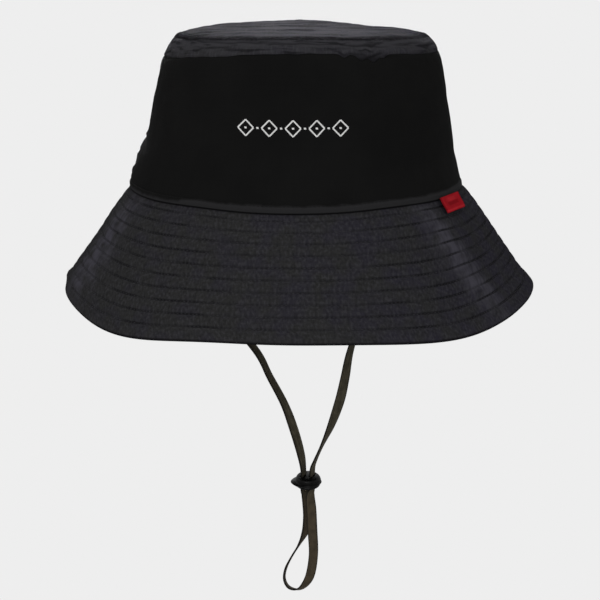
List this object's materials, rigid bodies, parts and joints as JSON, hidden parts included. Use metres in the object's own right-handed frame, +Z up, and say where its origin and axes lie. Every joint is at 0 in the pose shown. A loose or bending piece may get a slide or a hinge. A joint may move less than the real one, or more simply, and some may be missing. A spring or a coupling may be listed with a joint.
{
  "type": "bucket hat",
  "caption": "Soft bucket hat with a flat-topped panelled crown, a sloping quilted brim, a side label and a flat chin strap tightened by a two-slot slider.",
  "frame": {"origin": "centre of the oval head opening, in the plane of the seam between crown and brim", "axes": "+Z up as worn, -Y to the front, +X to the right of the camera that looks at the front (the wearer's left, where the label is)"},
  "size_m": [0.2626, 0.2822, 0.3318],
  "materials": {
    "charcoal_cloth": "fine plain-weave cotton, washed, matte with a faint sheen, violet-grey charcoal",
    "black_cloth": "dense very matte black cloth",
    "lining_cloth": "smooth thin black lining",
    "stay_tape": "narrow woven twill tape",
    "sweatband_cloth": "folded black cotton twill sweatband",
    "interlining_felt": "stiff non-woven interlining",
    "red_label": "folded damask-woven red label, blank",
    "olive_webbing": "flat olive-brown strap with dark edges",
    "black_plastic": "satin moulded black plastic"
  },
  "bodies": {
    "hat": {"crown_tip": "charcoal_cloth", "upper_band_front": "charcoal_cloth", "upper_band_back": "charcoal_cloth", "crown_panel_front": "black_cloth", "crown_panel_back": "black_cloth", "tip_lining": "lining_cloth", "side_lining_front": "lining_cloth", "side_lining_back": "lining_cloth", "seam_stay_tape": "stay_tape", "sweatband": "sweatband_cloth", "brim_upper_front": "charcoal_cloth", "brim_upper_back": "charcoal_cloth", "brim_interlining_front": "interlining_felt", "brim_interlining_back": "interlining_felt", "brim_under_front": "charcoal_cloth", "brim_under_back": "charcoal_cloth", "strap_tab_left": "olive_webbing", "strap_tab_right": "olive_webbing"},
    "chin_strap": {"chin_strap": "olive_webbing"},
    "strap_slider": {"strap_slider": "black_plastic"},
    "woven_tag": {"woven_tag": "red_label"}
  },
  "joints": [
    {"name": "strap_swing", "type": "hinge", "parent": "hat", "child": "chin_strap", "pos_m": [0, 0, -0.00786], "axis": [1, 0, 0], "range_deg": [-50, 50]},
    {"name": "slider_travel", "type": "slide", "parent": "chin_strap", "child": "strap_slider", "axis": [0, 0, 1], "range_m": [-0.025, 0.07], "deforming": ["chin_strap"]},
    {"name": "tag_lift", "type": "hinge", "parent": "hat", "child": "woven_tag", "pos_m": [0.08031, -0.04985, -0.00167], "axis": [-0.4731, -0.881, 0], "range_deg": [0, 90]}
  ]
}
